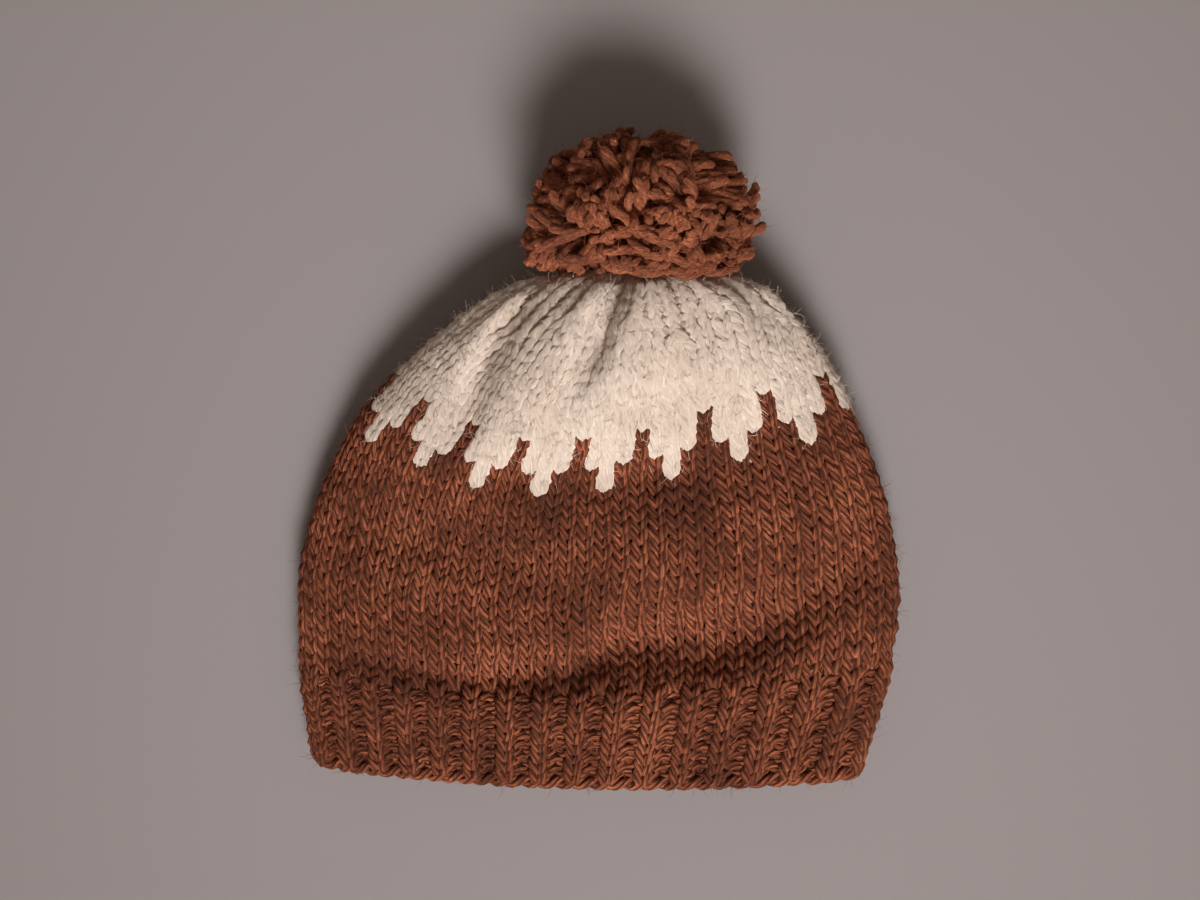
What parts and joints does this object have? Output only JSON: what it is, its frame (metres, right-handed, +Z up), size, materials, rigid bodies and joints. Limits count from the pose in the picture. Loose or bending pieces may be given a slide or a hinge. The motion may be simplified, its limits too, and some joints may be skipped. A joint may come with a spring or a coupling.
{
  "type": "knit baby hat",
  "caption": "Knitted baby hat lying flat: ribbed brim, plain body, gathered crown with a dripping colour edge and a yarn pompom.",
  "frame": {"origin": "middle of the flat underside, 70 mm up from the cast-on edge, on the surface that the hat lies on", "axes": "+Z up from the surface through the hat's front, +Y from the cast-on edge to the pompom, +X to the right of the front"},
  "size_m": [0.1782, 0.1932, 0.0557],
  "materials": {
    "rust_wool": "hand knitted worsted wool, matt and fuzzy",
    "cream_wool": "hand knitted worsted wool, matt and fuzzy",
    "pompom_wool": "cut strands of plied wool yarn, matt and fuzzy"
  },
  "bodies": {
    "root": {"ribbed_brim": "rust_wool", "body": "rust_wool", "crown": "cream_wool", "pompom": "pompom_wool"}
  },
  "joints": []
}
